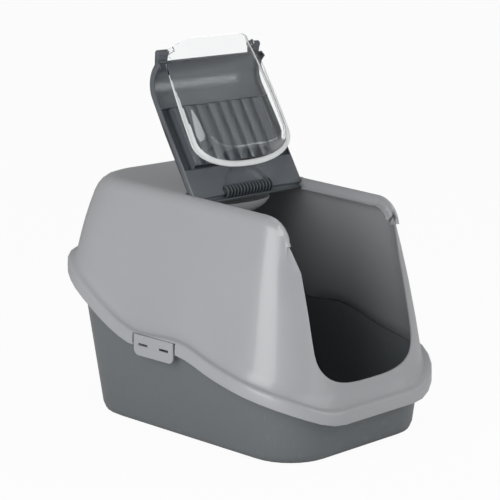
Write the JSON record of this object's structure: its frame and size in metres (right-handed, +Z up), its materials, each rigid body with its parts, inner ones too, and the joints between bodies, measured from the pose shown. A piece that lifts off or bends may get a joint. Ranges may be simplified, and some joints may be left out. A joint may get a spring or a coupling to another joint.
{
  "type": "hooded cat litter box",
  "caption": "Hooded cat litter box: tapered pan, domed hood with a large entry, hinged front lid with a filter cover and clear swing flap, and side clips.",
  "frame": {"origin": "centre of the underside of the tray, on the surface it stands on", "axes": "+Z up, the entry and the lid's free edge face -Y, the hood and tray are alike about the plane X = 0"},
  "size_m": [0.3904, 0.56, 0.6065],
  "materials": {
    "tray_plastic": "satin moulded plastic",
    "hood_plastic": "satin moulded plastic",
    "lid_plastic": "satin moulded plastic",
    "cover_plastic": "satin moulded plastic",
    "flap_clear": "clear moulded plastic",
    "pad_foam": "matt carbon foam",
    "clip_plastic": "satin moulded plastic"
  },
  "bodies": {
    "tray": {"tray": "tray_plastic"},
    "hood": {"hood": "hood_plastic"},
    "lid": {"front_lid": "lid_plastic", "filter_cover": "cover_plastic", "filter_pad": "pad_foam"},
    "flap": {"swing_flap": "flap_clear"},
    "clip_right": {"side_clip_right": "clip_plastic"},
    "clip_left": {"side_clip_left": "clip_plastic"}
  },
  "joints": [
    {"name": "hood_lift", "type": "slide", "parent": "tray", "child": "hood", "axis": [0, 0, 1], "range_m": [0, 0.25]},
    {"name": "lid_hinge", "type": "hinge", "parent": "hood", "child": "lid", "pos_m": [0, 0.007, 0.37], "axis": [1, 0, 0], "range_deg": [0, 123]},
    {"name": "flap_swing", "type": "hinge", "parent": "lid", "child": "flap", "pos_m": [0, 0.09151, 0.58459], "axis": [-1, 0, 0], "range_deg": [0, 150]},
    {"name": "clip_right_hinge", "type": "hinge", "parent": "hood", "child": "clip_right", "pos_m": [0.1938, 0.014, 0.1605], "axis": [0, -1, 0], "range_deg": [0, 12], "stiffness_Nm_per_rad": 0.5},
    {"name": "clip_left_hinge", "type": "hinge", "parent": "hood", "child": "clip_left", "pos_m": [-0.1938, 0.014, 0.1605], "axis": [0, 1, 0], "range_deg": [0, 12], "stiffness_Nm_per_rad": 0.5}
  ]
}
